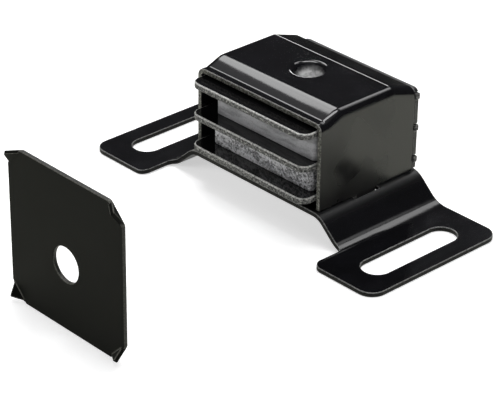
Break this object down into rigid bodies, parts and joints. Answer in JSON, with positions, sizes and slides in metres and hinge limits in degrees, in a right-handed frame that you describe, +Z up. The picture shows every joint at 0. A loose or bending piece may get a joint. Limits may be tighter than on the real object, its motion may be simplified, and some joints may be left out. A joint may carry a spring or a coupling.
{
  "type": "magnetic catch",
  "caption": "Magnetic cabinet catch: folded strap with slotted feet, clinched cover over a stack of pole plates and ferrite magnets, with a separate square strike plate.",
  "frame": {"origin": "on the mounting face, midway between the centres of the two screw slots", "axes": "+X across the catch from foot to foot, +Z up off the mounting face, and the pole plates point along -Y to the strike plate"},
  "size_m": [0.0726, 0.0763, 0.0285],
  "materials": {
    "strap_coat": "satin black coat on sheet steel",
    "cover_coat": "glossy black coat on sheet steel",
    "pole_plate_steel": "black coat, worn grey and grainy on the sheared front edges",
    "ferrite": "dark grey sintered ferrite, dull and speckled",
    "strike_coat": "satin black coat on sheet steel"
  },
  "bodies": {
    "catch": {"base_strap": "strap_coat", "cover": "cover_coat", "pole_plate_bottom": "pole_plate_steel", "magnet_lower": "ferrite", "pole_plate_middle": "pole_plate_steel", "magnet_upper": "ferrite", "pole_plate_top": "pole_plate_steel"},
    "strike": {"strike_plate": "strike_coat"}
  },
  "joints": [
    {"name": "strike_approach", "type": "slide", "parent": "catch", "child": "strike", "axis": [-0.2005, 0.9797, 0], "range_m": [0, 0.04787]}
  ]
}
